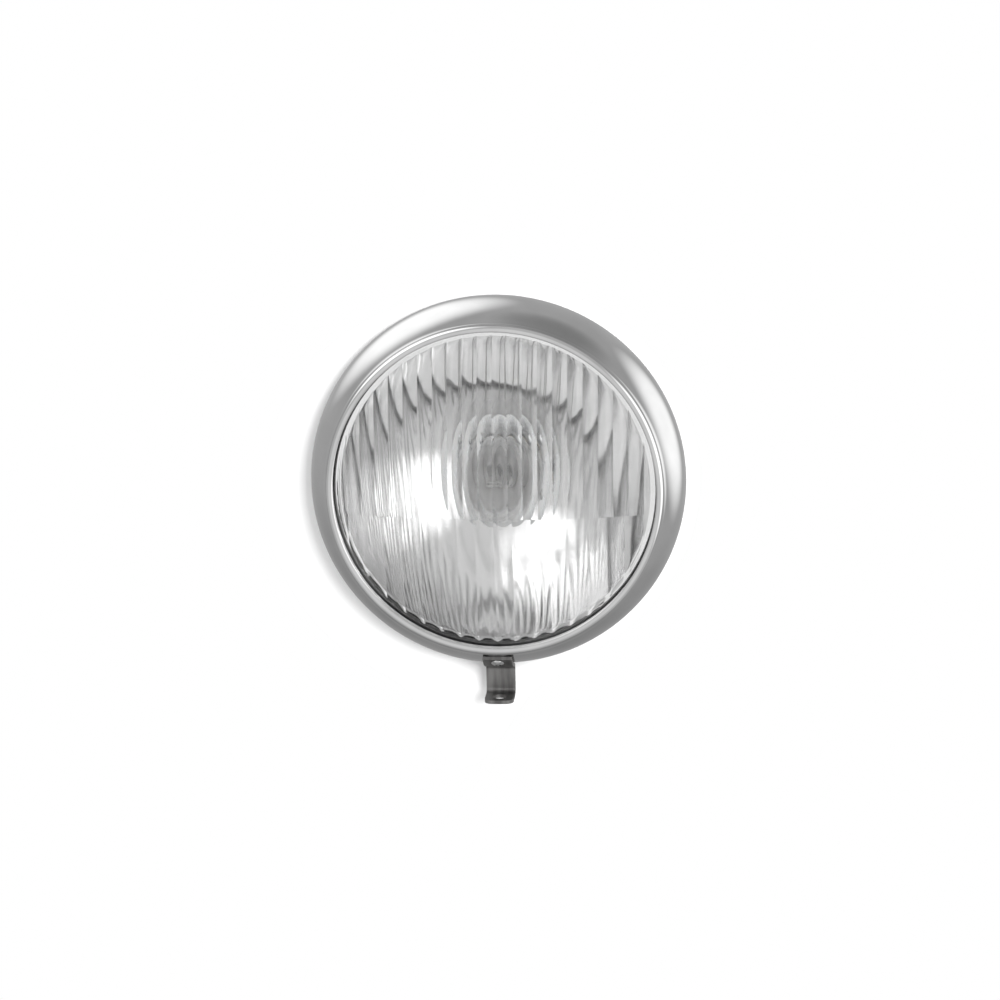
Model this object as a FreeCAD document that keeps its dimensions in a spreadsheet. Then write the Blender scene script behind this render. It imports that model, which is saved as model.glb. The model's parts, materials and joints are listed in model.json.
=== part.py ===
import FreeCAD, Part
import math
import os
import types

import Sketcher
from FreeCAD import Placement, Rotation, Vector

# Scooter headlight in millimetres. The lamp axis is Y: the lens faces -Y and the bulb holder is at +Y.
# +Z is up. The origin is on the lamp axis, in the plane of the rim's back edge, where the lamp seats.

document = FreeCAD.newDocument("ScooterHeadlight")
sheet = document.addObject("Spreadsheet::Sheet", "Sizes")

driving_sizes = [
    ("rim_radius", "61.0", "rim, outer radius"),
    ("rim_wall", "0.9", "rim, sheet thickness"),
    ("skirt_length", "2.0", "rim, straight part behind the convex band"),
    ("band_drop", "6.2", "rim, fall of the convex band from its outside to the crease"),
    ("crease_depth", "17.5", "rim, crease in front of the back edge"),
    ("lip_width", "2.8", "rim, width of the rolled bead from the crease to the opening"),
    ("lip_proud", "1.0", "rim, edge of the opening in front of the crease"),
    ("bead_radius", "2.1", "rim, rounding of the rolled bead"),
    ("seat_recess", "1.1", "rim, lens seat behind the crease"),
    ("fold_width", "3.6", "rim, back edge folded inwards"),
    ("fold_bend", "1.6", "rim, outer bend radius of the folded edge"),
    ("lens_clearance", "0.5", "lens edge to rim"),
    ("dome_clearance", "0.4", "lens dome to the rim's lip"),
    ("lens_edge", "3.4", "lens, thickness of its flat edge"),
    ("dome_radius", "160.0", "lens, radius of the smooth front"),
    ("lens_wall", "3.6", "lens, glass thickness of the fluted field"),
    ("field_border", "3.3", "lens, plain border round the fluted field at the back face"),
    ("field_angle", "25.0", "lens, slope of the field's end wall in degrees"),
    ("upper_pitch", "4.75", "lens, flute width above the step line"),
    ("lower_pitch", "5.9", "lens, flute width below the step line"),
    ("flute_depth", "0.6", "lens, depth of a flute"),
    ("step_drop", "8.0", "lens, step line below the axis"),
    ("seal_thickness", "1.6", "seal between lens and reflector"),
    ("seal_width", "2.8", "seal, width of the ring"),
    ("reflector_wall", "0.8", "reflector, sheet thickness"),
    ("flange_play", "0.6", "reflector, flange smaller than the lens edge"),
    ("flange_width", "3.8", "reflector, flange round the mouth"),
    ("focus_setback", "2.7", "reflector, focus of the parabola behind its mouth"),
    ("neck_radius", "19.0", "reflector, inner radius of the neck"),
    ("neck_length", "6.0", "reflector, length of the neck"),
    ("collar_width", "4.2", "reflector, collar round the neck's end"),
    ("clip_wire", "0.7", "retaining clip, wire radius"),
    ("clip_bend", "1.8", "retaining clip, bend radius"),
    ("clip_half_top", "4.5", "retaining clip, half the width of its loop"),
    ("clip_half_foot", "9.0", "retaining clip, half the width over its feet"),
    ("clip_tuck", "1.6", "retaining clip, loop behind the folded edge"),
    ("plate_wall", "1.0", "holder plate, thickness"),
    ("tab_length", "9.0", "holder plate, length of the earth tab"),
    ("tab_width", "5.0", "blade width of the tab and the terminals"),
    ("tab_wall", "0.8", "blade thickness of the tab and the terminals"),
    ("grip_wall", "0.8", "holder clip, strip thickness"),
    ("grip_width", "8.0", "holder clip, strip width"),
    ("grip_reach", "2.6", "holder clip, reach of its arms over the collar"),
    ("grip_play", "0.2", "holder clip to the collar's edge"),
    ("cap_radius", "10.0", "bulb cap, outer radius"),
    ("cap_wall", "0.4", "bulb cap, shell thickness"),
    ("cap_length", "15.0", "bulb cap, length"),
    ("cap_lip", "2.2", "bulb cap, turned-in end"),
    ("cap_lead", "2.7", "bulb cap, front in front of the reflector neck's end"),
    ("pin_setback", "8.0", "cap pins behind the cap's front"),
    ("pin_radius", "1.0", "cap pin, radius"),
    ("pin_height", "1.0", "cap pin, height over the cap"),
    ("sleeve_play", "0.2", "bulb cap to sleeve"),
    ("sleeve_wall", "0.8", "sleeve, sheet thickness"),
    ("sleeve_setback", "1.0", "sleeve, front edge behind the cap's front"),
    ("sleeve_flange", "4.6", "sleeve, width of its flange"),
    ("slot_play", "0.2", "bayonet slot to cap pin"),
    ("slot_turn", "3.2", "bayonet slot, sideways run"),
    ("plate_play", "0.15", "holder plate to sleeve"),
    ("rivet_radius", "1.0", "sleeve rivet, shank radius"),
    ("rivet_head", "1.8", "sleeve rivet, head radius"),
    ("rivet_height", "0.7", "sleeve rivet, head height"),
    ("rivet_play", "0.05", "rivet to its hole"),
    ("insulator_length", "3.0", "cap insulator, length"),
    ("insulator_proud", "1.2", "cap insulator behind the cap"),
    ("contact_spacing", "4.5", "contacts beside the axis"),
    ("contact_radius", "1.7", "contact, head radius"),
    ("contact_height", "0.8", "contact, head height"),
    ("shank_radius", "1.0", "contact pin, shank radius"),
    ("shank_proud", "1.2", "contact pin behind the carrier"),
    ("carrier_length", "5.0", "contact carrier, thickness"),
    ("carrier_play", "0.3", "contact carrier and terminal plate to sleeve"),
    ("spring_length", "7.0", "carrier spring, fitted length"),
    ("spring_radius", "8.0", "carrier spring, radius of the coil"),
    ("spring_wire", "0.5", "carrier spring, wire radius"),
    ("spring_turns", "3.0", "carrier spring, number of turns"),
    ("lead_radius", "0.6", "contact lead, radius"),
    ("terminal_wall", "3.0", "terminal plate, thickness"),
    ("terminal_neck", "2.4", "terminal, width of its neck"),
    ("terminal_head", "0.6", "terminal, upset head in front of the plate"),
    ("terminal_length", "8.5", "terminal, blade behind the plate"),
    ("terminal_play", "0.05", "terminal neck to its slot"),
    ("globe_radius", "12.5", "bulb globe, outer radius"),
    ("globe_lead", "9.0", "bulb globe, front end in front of the main filament"),
    ("globe_taper", "6.5", "bulb globe, length of its tapered shoulder"),
    ("globe_wall", "0.7", "bulb globe, glass thickness"),
    ("globe_shoulder", "0.2", "bulb globe's shoulder in front of the cap"),
    ("globe_neck", "8.4", "bulb globe, outer radius of its neck"),
    ("neck_overlap", "6.0", "bulb globe's neck inside the cap"),
    ("stem_radius", "3.4", "filament stem, radius of its tip"),
    ("stem_setback", "9.0", "filament stem's tip behind the filament"),
    ("flare_wall", "1.2", "filament stem, thickness of its flare"),
    ("wire_radius", "0.3", "support wire and filament, radius"),
    ("main_spread", "2.5", "main filament's wires beside the axis"),
    ("dip_spread", "2.0", "dip filament's wires beside the axis"),
    ("dip_rise", "1.9", "dip filament above the axis"),
    ("dip_lead", "3.0", "dip filament in front of the main one"),
    ("strip_wall", "1.2", "bracket, strip thickness"),
    ("strip_width", "9.5", "bracket, strip width"),
    ("strip_bend", "1.5", "bracket, inner bend radius"),
    ("foot_play", "0.05", "bracket foot to rim"),
    ("foot_margin_angle", "1.6", "bracket foot, front end short of the rim's crease in degrees"),
    ("back_angle", "12.0", "bracket foot, back end round the band in degrees"),
    ("web_length", "6.1", "bracket, straight web between its bends"),
    ("tongue_length", "9.6", "bracket, lower flange in front of the web"),
    ("tongue_round", "2.6", "bracket, rounded corners of the lower flange"),
    ("hole_radius", "2.25", "bracket, screw hole"),
    ("hole_setback", "4.4", "bracket, screw hole behind the lower flange's front"),
    ("stud_margin_angle", "7.1", "bracket rivet short of the rim's crease in degrees"),
    ("stud_radius", "1.15", "bracket rivet, shank radius"),
    ("stud_head", "2.2", "bracket rivet, head radius"),
    ("stud_height", "1.0", "bracket rivet, head height"),
    ("closing_head", "1.7", "bracket rivet, radius of the closing head inside the rim"),
    ("closing_height", "0.7", "bracket rivet, height of the closing head"),
    ("stud_play", "0.1", "bracket rivet to its seats"),
]

for row, (alias, value, note) in enumerate(driving_sizes, start=1):
    sheet.set("A%d" % row, note)
    sheet.set("B%d" % row, value)
    sheet.setAlias("B%d" % row, alias)
document.recompute()


class Size:
    # A length that carries its number and the sheet formula that it comes from.

    def __init__(self, number, formula):
        self.number = float(number)
        self.formula = formula

    def __add__(self, other):
        other = as_size(other)
        return Size(self.number + other.number, "(%s + %s)" % (self.formula, other.formula))

    def __sub__(self, other):
        other = as_size(other)
        return Size(self.number - other.number, "(%s - %s)" % (self.formula, other.formula))

    def __mul__(self, other):
        other = as_size(other)
        return Size(self.number * other.number, "(%s * %s)" % (self.formula, other.formula))

    def __truediv__(self, other):
        other = as_size(other)
        return Size(self.number / other.number, "(%s / %s)" % (self.formula, other.formula))

    def __neg__(self):
        return Size(-self.number, "(-1 * %s)" % self.formula)


def as_size(value):
    if isinstance(value, Size):
        return value
    return Size(value, repr(float(value)))


def root(size):
    return Size(math.sqrt(size.number), "sqrt(%s)" % size.formula)


def sine(angle):
    return Size(math.sin(math.radians(angle.number)), "sin(%s)" % angle.formula)


def cosine(angle):
    return Size(math.cos(math.radians(angle.number)), "cos(%s)" % angle.formula)


def arcsine(ratio):
    return Size(math.degrees(math.asin(ratio.number)), "asin(%s) / 1 deg" % ratio.formula)


size = types.SimpleNamespace()
for alias, value, note in driving_sizes:
    setattr(size, alias, Size(sheet.get(alias), "Sizes." + alias))
axis_line = as_size(0)


def new_body(label):
    body = document.addObject("PartDesign::Body", label)
    body.Label = label
    return body


def origin_plane(body, role):
    return [feature for feature in body.Origin.OriginFeatures if feature.Role == role][0]


def new_sketch(body, name, role):
    if body is None:
        return document.addObject("Sketcher::SketchObject", name)
    sketch = body.newObject("Sketcher::SketchObject", name)
    sketch.AttachmentSupport = [(origin_plane(body, role), "")]
    sketch.MapMode = "FlatFace"
    return sketch


def arc_between(start, end, radius):
    # The short arc from start to end. A positive radius turns left on the way, a negative one right.
    chord = end - start
    to_centre = Vector(-chord.y, chord.x, 0).normalize()
    height = math.sqrt(max(radius * radius - chord.Length ** 2 / 4, 0))
    middle = (start + end) / 2
    centre = middle + to_centre * math.copysign(height, radius)
    first, last = (start, end) if radius > 0 else (end, start)
    first_angle = math.atan2(first.y - centre.y, first.x - centre.x)
    last_angle = math.atan2(last.y - centre.y, last.x - centre.x)
    circle = Part.Circle(centre, Vector(0, 0, 1), abs(radius))
    return Part.ArcOfCircle(circle, first_angle, last_angle)


def bind(sketch, constraints):
    # Adds the constraints and ties each one that has a size to its formula.
    numbers = sketch.addConstraint([constraint for constraint, tied in constraints])
    for number, (constraint, tied) in zip(numbers, constraints):
        if tied is not None:
            sketch.setExpression("Constraints[%d]" % number, tied.formula)


def place_point(edge, end, across, up):
    # Ties a point's two coordinates, or puts it on an axis where a coordinate is nought.
    rules = []
    for kind, axis, value in (("DistanceX", -2, across), ("DistanceY", -1, up)):
        if value.formula == axis_line.formula:
            rules.append((Sketcher.Constraint("PointOnObject", edge, end, axis), None))
        else:
            rules.append((Sketcher.Constraint(kind, -1, 1, edge, end, value.number), value))
    return rules


def draw_outline(sketch, corners, closed=True):
    # A corner is (across, up), or (across, up, radius) where an arc ends in it.
    corners = [tuple(as_size(value) for value in corner) for corner in corners]
    points = [Vector(corner[0].number, corner[1].number, 0) for corner in corners]
    edge_count = len(corners) if closed else len(corners) - 1
    geometry = []
    ends = []
    for index in range(edge_count):
        following = corners[(index + 1) % len(corners)]
        start, end = points[index], points[(index + 1) % len(points)]
        if len(following) == 3:
            geometry.append(arc_between(start, end, following[2].number))
            ends.append((1, 2) if following[2].number > 0 else (2, 1))
        else:
            geometry.append(Part.LineSegment(start, end))
            ends.append((1, 2))
    edges = sketch.addGeometry(geometry, False)
    constraints = []
    for index, corner in enumerate(corners):
        previous = index - 1
        if index < edge_count:
            constraints += place_point(edges[index], ends[index][0], corner[0], corner[1])
        else:
            constraints += place_point(edges[previous], ends[previous][1], corner[0], corner[1])
        if closed or 0 < index < edge_count:
            joint = (edges[previous], ends[previous][1], edges[index], ends[index][0])
            constraints.append((Sketcher.Constraint("Coincident", *joint), None))
        if len(corner) == 3:
            radius = corner[2] if corner[2].number > 0 else -corner[2]
            constraints.append((Sketcher.Constraint("Radius", edges[previous], radius.number), radius))
    bind(sketch, constraints)


def draw_circles(sketch, circles):
    # Each circle is (across, up, radius).
    for circle in circles:
        across, up, radius = (as_size(value) for value in circle)
        centre = Vector(across.number, up.number, 0)
        edge = sketch.addGeometry(Part.Circle(centre, Vector(0, 0, 1), radius.number), False)
        rules = place_point(edge, 3, across, up)
        rules.append((Sketcher.Constraint("Radius", edge, radius.number), radius))
        bind(sketch, rules)


def tie(item, **formulas):
    # Binds properties of an object to sizes. A double underscore stands for a dot in the path.
    for path, value in formulas.items():
        item.setExpression(path.replace("__", "."), as_size(value).formula)


def turned(label, corners):
    # A piece turned about the lamp axis from its half section, given as (depth, radius).
    body = new_body(label)
    sketch = new_sketch(body, label + "_section", "YZ_Plane")
    draw_outline(sketch, corners)
    turn = body.newObject("PartDesign::Revolution", label + "_turn")
    turn.Profile = sketch
    turn.ReferenceAxis = (sketch, ["H_Axis"])
    turn.Angle = 360.0
    return body


def extruded(label, role, corners, width):
    # A flat outline on an origin plane, given equal thickness to both sides of it.
    body = new_body(label)
    sketch = new_sketch(body, label + "_outline", role)
    draw_outline(sketch, corners)
    pad = body.newObject("PartDesign::Pad", label + "_pad")
    pad.Profile = sketch
    pad.SideType = "Symmetric"
    tie(pad, Length=width)
    return body


def cut_through(body, sketch, depth):
    # Cuts a sketch equally far to both sides of its plane, and makes sure that it met the solid.
    document.recompute()
    before = body.Shape.Volume
    pocket = body.newObject("PartDesign::Pocket", sketch.Name + "_pocket")
    pocket.Profile = sketch
    pocket.SideType = "Symmetric"
    tie(pocket, Length=depth)
    document.recompute()
    if not body.Shape.Volume < before:
        raise RuntimeError(sketch.Name + " cut nothing")
    return pocket


def boolean(kind, label, base, tool):
    result = document.addObject("Part::" + kind, label)
    result.Base = base
    result.Tool = tool
    result.Label = label
    return result


def rod(label, radius, length):
    # A round bar along its own Z axis.
    bar = document.addObject("Part::Cylinder", label)
    tie(bar, Radius=radius, Height=length)
    bar.Label = label
    return bar


def group(label, solids):
    result = document.addObject("Part::Compound", label)
    result.Links = solids
    result.Label = label
    return result


along_lamp = Rotation(Vector(1, 0, 0), -90)
across_lamp = Rotation(Vector(0, 1, 0), 90)

# Places along the lamp axis and radii that several pieces share.
crease_radius = size.rim_radius - size.band_drop
lip_radius = crease_radius - size.lip_width
seat_depth = size.crease_depth - size.seat_recess
band_run = size.crease_depth - size.skirt_length
band_radius = (band_run * band_run + size.band_drop * size.band_drop) / (size.band_drop * 2)
band_centre = size.rim_radius - band_radius
band_inner = band_radius - size.rim_wall
seat_place = -seat_depth
seat_reach = seat_depth - size.skirt_length
seat_radius = band_centre + root(band_inner * band_inner - seat_reach * seat_reach)
fold_inner = size.rim_radius - size.fold_width
lens_radius = seat_radius - size.lens_clearance
lens_back = seat_place + size.lens_edge
field_radius = lens_radius - size.field_border
dome_edge = lip_radius - size.dome_clearance
dome_centre = seat_place + root(size.dome_radius * size.dome_radius - dome_edge * dome_edge)
dome_front = dome_centre - size.dome_radius
flute_dome = size.dome_radius - size.lens_wall
mouth_place = lens_back + size.seal_thickness
flange_back = mouth_place + size.reflector_wall
flange_radius = lens_radius - size.flange_play
mouth_radius = flange_radius - size.flange_width
focus_place = mouth_place + size.focus_setback
focus_reach = root(size.focus_setback * size.focus_setback + mouth_radius * mouth_radius)
focal_length = (focus_reach - size.focus_setback) / 2
vertex_place = focus_place + focal_length
neck_start = vertex_place - size.neck_radius * size.neck_radius / (focal_length * 4)
neck_end = neck_start + size.neck_length
collar_radius = size.neck_radius + size.collar_width
plate_back = neck_end + size.plate_wall
cap_front = neck_end - size.cap_lead
cap_back = cap_front + size.cap_length
cap_inner = size.cap_radius - size.cap_wall
pin_place = cap_front + size.pin_setback
sleeve_inner = size.cap_radius + size.sleeve_play
sleeve_outer = sleeve_inner + size.sleeve_wall
sleeve_front = cap_front + size.sleeve_setback
flange_outer = sleeve_outer + size.sleeve_flange
rivet_circle = sleeve_outer + size.sleeve_flange / 2
rivet_hole = size.rivet_radius + size.rivet_play
insulator_back = cap_back + size.insulator_proud
contact_back = insulator_back + size.contact_height
carrier_front = contact_back + size.contact_height
carrier_back = carrier_front + size.carrier_length
terminal_front = carrier_back + size.spring_length
terminal_back = terminal_front + size.terminal_wall
neck_inside = size.globe_neck - size.globe_wall
glass_end = cap_front + size.neck_overlap
stem_tip = focus_place + size.stem_setback
crease_angle = arcsine(band_run / band_radius)
front_angle = crease_angle - size.foot_margin_angle
stud_angle = crease_angle - size.stud_margin_angle
foot_inner = band_radius + size.foot_play
foot_outer = foot_inner + size.strip_wall
cut_margin = 1.0
diagonal_angles = (45, 135, 225, 315)


def make_rim():
    inner_wall = size.rim_radius - size.rim_wall
    bend_start = size.rim_radius - size.fold_bend
    blank = turned("rim_blank", [
        (0, fold_inner),
        (0, bend_start),
        (-size.fold_bend, size.rim_radius, size.fold_bend),
        (-size.skirt_length, size.rim_radius),
        (-size.crease_depth, crease_radius, band_radius),
        (-size.crease_depth - size.lip_proud, lip_radius, size.bead_radius),
        (seat_place, lip_radius),
        (seat_place, seat_radius),
        (-size.skirt_length, inner_wall, -band_inner),
        (-size.fold_bend, inner_wall),
        (-size.rim_wall, bend_start, -(size.fold_bend - size.rim_wall)),
        (-size.rim_wall, fold_inner),
    ])
    return boolean("Cut", "rim", blank, stud_hole("rim_hole"))


def stud_hole(label):
    # The hole for the bracket rivet, square to the rim's band at the bottom of the rim.
    hole = rod(label, size.stud_radius + size.rivet_play, foot_outer - band_inner + size.rim_wall * 2)
    start = band_inner - size.rim_wall
    tie(hole, Placement__Base__y=-size.skirt_length - start * sine(stud_angle))
    tie(hole, Placement__Base__z=-band_centre - start * cosine(stud_angle))
    hole.Placement.Rotation = Rotation(Vector(1, 0, 0), 180 - stud_angle.number)
    return hole


def make_lens():
    blank = turned("lens_blank", [
        (dome_front, 0),
        (seat_place, dome_edge, -size.dome_radius),
        (seat_place, lens_radius),
        (lens_back, lens_radius),
        (lens_back, 0),
    ])
    fluted = blank
    for side, pitch in (("upper", size.upper_pitch), ("lower", size.lower_pitch)):
        field = boolean("Common", side + "_field", field_cone(side), field_half(side))
        cavity = boolean("Common", side + "_cavity", flute_core(side, pitch), field)
        fluted = boolean("Cut", side + "_flutes", fluted, cavity)
    fluted.Label = "lens"
    return fluted


def flute_core(side, pitch):
    # A row of arcs along X, swung about the dome's centre so that every flute follows the dome.
    half_count = math.ceil(field_radius.number / pitch.number)
    arc = (pitch * pitch / 4 + size.flute_depth * size.flute_depth) / (size.flute_depth * 2)
    corners = []
    for index in range(-half_count, half_count + 1):
        across = pitch * index
        depth = dome_centre - root(flute_dome * flute_dome - across * across)
        corners.append((across, depth, arc) if corners else (across, depth))
    core_back = lens_back + size.lens_edge
    corners += [(pitch * half_count, core_back), (pitch * -half_count, core_back)]
    sketch = new_sketch(None, side + "_flute_row", None)
    draw_outline(sketch, corners)
    core = document.addObject("Part::Revolution", side + "_core")
    core.Source = sketch
    core.Axis = Vector(1, 0, 0)
    core.Solid = True
    core.Symmetric = True
    swing = arcsine(field_radius / flute_dome) * 2.4
    tie(core, Base__y=dome_centre, Angle=swing)
    return core


def field_front():
    return dome_front + size.lens_wall - size.flute_depth * 2


def field_cone(side):
    # The fluted field ends in a sloping wall all round.
    slope = sine(size.field_angle) / cosine(size.field_angle)
    length = lens_back - field_front() + cut_margin
    cone = document.addObject("Part::Cone", side + "_cone")
    tie(cone, Radius1=field_radius - (length - cut_margin) / slope)
    tie(cone, Radius2=field_radius + as_size(cut_margin) / slope, Height=length)
    cone.Placement.Rotation = along_lamp
    tie(cone, Placement__Base__y=field_front())
    return cone


def field_half(side):
    half = document.addObject("Part::Box", side + "_half")
    tie(half, Length=lens_radius * 2, Width=lens_back - dome_front + cut_margin * 2, Height=lens_radius)
    tie(half, Placement__Base__x=-lens_radius, Placement__Base__y=dome_front)
    if side == "upper":
        tie(half, Placement__Base__z=-size.step_drop)
    else:
        tie(half, Placement__Base__z=-size.step_drop - lens_radius)
    return half


def make_lens_seal():
    outer = lens_radius
    inner = outer - size.seal_width
    rounding = size.seal_thickness / 4
    return turned("lens_seal", [
        (lens_back, inner + rounding, -rounding),
        (lens_back, outer - rounding),
        (lens_back + rounding, outer, -rounding),
        (mouth_place - rounding, outer),
        (mouth_place, outer - rounding, -rounding),
        (mouth_place, inner + rounding),
        (mouth_place - rounding, inner, -rounding),
        (lens_back + rounding, inner),
    ])


def make_reflector():
    # A parabola is a quadratic curve with three poles: its ends and the meeting point of their tangents.
    wall = size.reflector_wall.number
    mouth = mouth_radius.number
    neck = size.neck_radius.number
    four_focal = 4 * focal_length.number
    vertex = vertex_place.number

    def parabola(shift, first, last):
        curve = Part.BezierCurve()
        curve.setPoles([
            Vector(0, vertex + shift - first * first / four_focal, first),
            Vector(0, vertex + shift - first * last / four_focal, (first + last) / 2),
            Vector(0, vertex + shift - last * last / four_focal, last),
        ])
        return curve.toShape()

    outer_start = vertex + wall - (neck + wall) ** 2 / four_focal
    outside = [
        Vector(0, outer_start, neck + wall),
        Vector(0, neck_end.number - wall, neck + wall),
        Vector(0, neck_end.number - wall, collar_radius.number),
        Vector(0, neck_end.number, collar_radius.number),
        Vector(0, neck_end.number, neck),
        Vector(0, neck_start.number, neck),
    ]
    flange = [
        Vector(0, mouth_place.number, mouth),
        Vector(0, mouth_place.number, flange_radius.number),
        Vector(0, flange_back.number, flange_radius.number),
        Vector(0, flange_back.number, mouth),
    ]
    edges = Part.makePolygon(flange).Edges + [parabola(wall, mouth, neck + wall)]
    edges += Part.makePolygon(outside).Edges + [parabola(0, neck, mouth)]
    section = Part.Face(Part.Wire(Part.__sortEdges__(edges)))
    reflector = document.addObject("Part::Feature", "reflector")
    reflector.Shape = section.revolve(Vector(0, 0, 0), Vector(0, 1, 0), 360)
    reflector.Label = "reflector"
    return reflector


def make_retaining_clips():
    # Spring wires braced between the reflector's flange and the folded edge of the rim.
    foot_place = flange_back + size.clip_wire
    foot_radius = mouth_radius + size.flange_width / 2
    loop_place = -size.rim_wall - size.clip_wire
    loop_radius = fold_inner + size.clip_tuck
    run = loop_place - foot_place
    rise = loop_radius - foot_radius
    brace = root(run * run + rise * rise)
    lean = math.degrees(math.atan2(rise.number, run.number))
    bend = size.clip_bend
    side = size.clip_half_top
    clips = []
    for number, angle in enumerate(diagonal_angles, start=1):
        label = "retaining_clip_%d" % number
        body = new_body(label)
        path = new_sketch(body, label + "_path", "XY_Plane")
        draw_outline(path, [
            (-size.clip_half_foot, 0),
            (-side - bend, 0),
            (-side, bend, bend),
            (-side, brace - bend),
            (-side + bend, brace, -bend),
            (side - bend, brace),
            (side, brace - bend, -bend),
            (side, bend),
            (side + bend, 0, bend),
            (size.clip_half_foot, 0),
        ], closed=False)
        section = new_sketch(body, label + "_wire", "YZ_Plane")
        tie(section, AttachmentOffset__Base__z=-size.clip_half_foot)
        draw_circles(section, [(0, 0, size.clip_wire)])
        sweep = body.newObject("PartDesign::AdditivePipe", label + "_sweep")
        sweep.Profile = section
        sweep.Spine = path
        upright = Placement(Vector(0, foot_place.number, foot_radius.number), Rotation(Vector(1, 0, 0), lean))
        body.Placement = Placement(Vector(), Rotation(Vector(0, 1, 0), angle)) * upright
        clips.append(body)
    return clips


def make_holder_plate():
    bore = sleeve_outer + size.plate_play
    plate = turned("holder_plate", [
        (neck_end, bore),
        (neck_end, collar_radius),
        (plate_back, collar_radius),
        (plate_back, bore),
    ])
    # The earth tab is punched out of the plate's lower edge and bent back.
    tab = new_sketch(plate, "earth_tab", "YZ_Plane")
    tab_top = -(flange_outer + size.tab_wall)
    draw_outline(tab, [
        (plate_back - size.plate_wall / 2, tab_top),
        (plate_back + size.tab_length, tab_top),
        (plate_back + size.tab_length, tab_top - size.tab_wall),
        (plate_back - size.plate_wall / 2, tab_top - size.tab_wall),
    ])
    pad = plate.newObject("PartDesign::Pad", "earth_tab_pad")
    pad.Profile = tab
    pad.SideType = "Symmetric"
    tie(pad, Length=size.tab_width)
    holes = new_sketch(plate, "plate_holes", "XZ_Plane")
    draw_circles(holes, rivet_places(rivet_hole))
    cut_through(plate, holes, plate_back * 3)
    return plate


def rivet_places(radius):
    spread = rivet_circle * root(as_size(0.5))
    return [(spread * x, spread * z, radius) for x in (1, -1) for z in (1, -1)]


def make_sleeve():
    flange_end = plate_back + size.sleeve_wall
    end_lip = sleeve_inner - size.sleeve_wall * 2
    sleeve_end = terminal_back + size.sleeve_wall
    sleeve = turned("bulb_sleeve", [
        (sleeve_front, sleeve_inner),
        (sleeve_front, sleeve_outer),
        (plate_back, sleeve_outer),
        (plate_back, flange_outer),
        (flange_end, flange_outer),
        (flange_end, sleeve_outer),
        (sleeve_end, sleeve_outer),
        (sleeve_end, end_lip),
        (terminal_back, end_lip),
        (terminal_back, sleeve_inner),
    ])
    holes = new_sketch(sleeve, "flange_holes", "XZ_Plane")
    draw_circles(holes, rivet_places(rivet_hole))
    cut_through(sleeve, holes, flange_end * 3)
    # Two bayonet slots, each with a sideways run in which the cap's pin locks.
    half_slot = size.pin_radius + size.slot_play
    slot = new_sketch(sleeve, "bayonet_slot", "YZ_Plane")
    draw_outline(slot, [
        (sleeve_front - cut_margin, -size.slot_turn - half_slot),
        (sleeve_front - cut_margin, -size.slot_turn + half_slot),
        (pin_place - half_slot, -size.slot_turn + half_slot),
        (pin_place - half_slot, half_slot),
        (pin_place + half_slot, half_slot),
        (pin_place + half_slot, -size.slot_turn - half_slot),
    ])
    document.recompute()
    before = sleeve.Shape.Volume
    pocket = sleeve.newObject("PartDesign::Pocket", "slot_pocket")
    pocket.Profile = slot
    pocket.Reversed = True
    tie(pocket, Length=sleeve_outer)
    pair = sleeve.newObject("PartDesign::PolarPattern", "slot_pair")
    pair.Originals = [pocket]
    pair.Axis = (slot, ["H_Axis"])
    pair.Angle = 360.0
    pair.Occurrences = 2
    sleeve.Tip = pair
    document.recompute()
    if not sleeve.Shape.Volume < before:
        raise RuntimeError("bayonet slots cut nothing")
    return sleeve


def make_sleeve_rivets():
    # Four rivets hold the sleeve's flange to the holder plate.
    flange_end = plate_back + size.sleeve_wall
    rivets = []
    for number, angle in enumerate(diagonal_angles, start=1):
        rivet = turned("sleeve_rivet_%d" % number, [
            (neck_end - size.rivet_height, 0),
            (neck_end - size.rivet_height, size.rivet_head),
            (neck_end, size.rivet_head),
            (neck_end, size.rivet_radius),
            (flange_end, size.rivet_radius),
            (flange_end, size.rivet_head),
            (flange_end + size.rivet_height, 0, -dome_arc(size.rivet_head, size.rivet_height)),
        ])
        turn = Rotation(Vector(0, 1, 0), angle)
        rivet.Placement = Placement(turn.multVec(Vector(rivet_circle.number, 0, 0)), Rotation())
        rivets.append(rivet)
    return group("sleeve_rivets", rivets)


def dome_arc(radius, height):
    return (radius * radius + height * height) / (height * 2)


def make_holder_clips():
    # Spring grips push over the neck's collar and the holder plate from both sides.
    near = collar_radius - size.grip_reach
    web_inside = collar_radius + size.grip_play
    web_outside = web_inside + size.grip_wall
    collar_front = neck_end - size.reflector_wall
    clips = []
    for number, angle in ((1, 0), (2, 180)):
        clip = extruded("holder_clip_%d" % number, "XY_Plane", [
            (near, collar_front - size.grip_wall),
            (web_inside, collar_front - size.grip_wall),
            (web_outside, collar_front, size.grip_wall),
            (web_outside, plate_back),
            (web_inside, plate_back + size.grip_wall, size.grip_wall),
            (near, plate_back + size.grip_wall),
            (near, plate_back),
            (web_inside, plate_back),
            (web_inside, collar_front),
            (near, collar_front),
        ], size.grip_width)
        clip.Placement = Placement(Vector(), Rotation(Vector(0, 1, 0), angle))
        clips.append(clip)
    return clips


def make_contact_carrier():
    hole = size.shank_radius + size.rivet_play
    carrier = turned("contact_carrier", [
        (carrier_front, 0),
        (carrier_front, sleeve_inner - size.carrier_play),
        (carrier_back, sleeve_inner - size.carrier_play),
        (carrier_back, 0),
    ])
    holes = new_sketch(carrier, "carrier_holes", "XZ_Plane")
    draw_circles(holes, [(size.contact_spacing, 0, hole), (-size.contact_spacing, 0, hole)])
    cut_through(carrier, holes, carrier_back * 3)
    return carrier


def beside_axis(label, sign, corners):
    # A small turned piece whose axis lies to one side of the lamp axis.
    piece = turned(label, corners)
    tie(piece, Placement__Base__x=size.contact_spacing * sign)
    return piece


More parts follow.
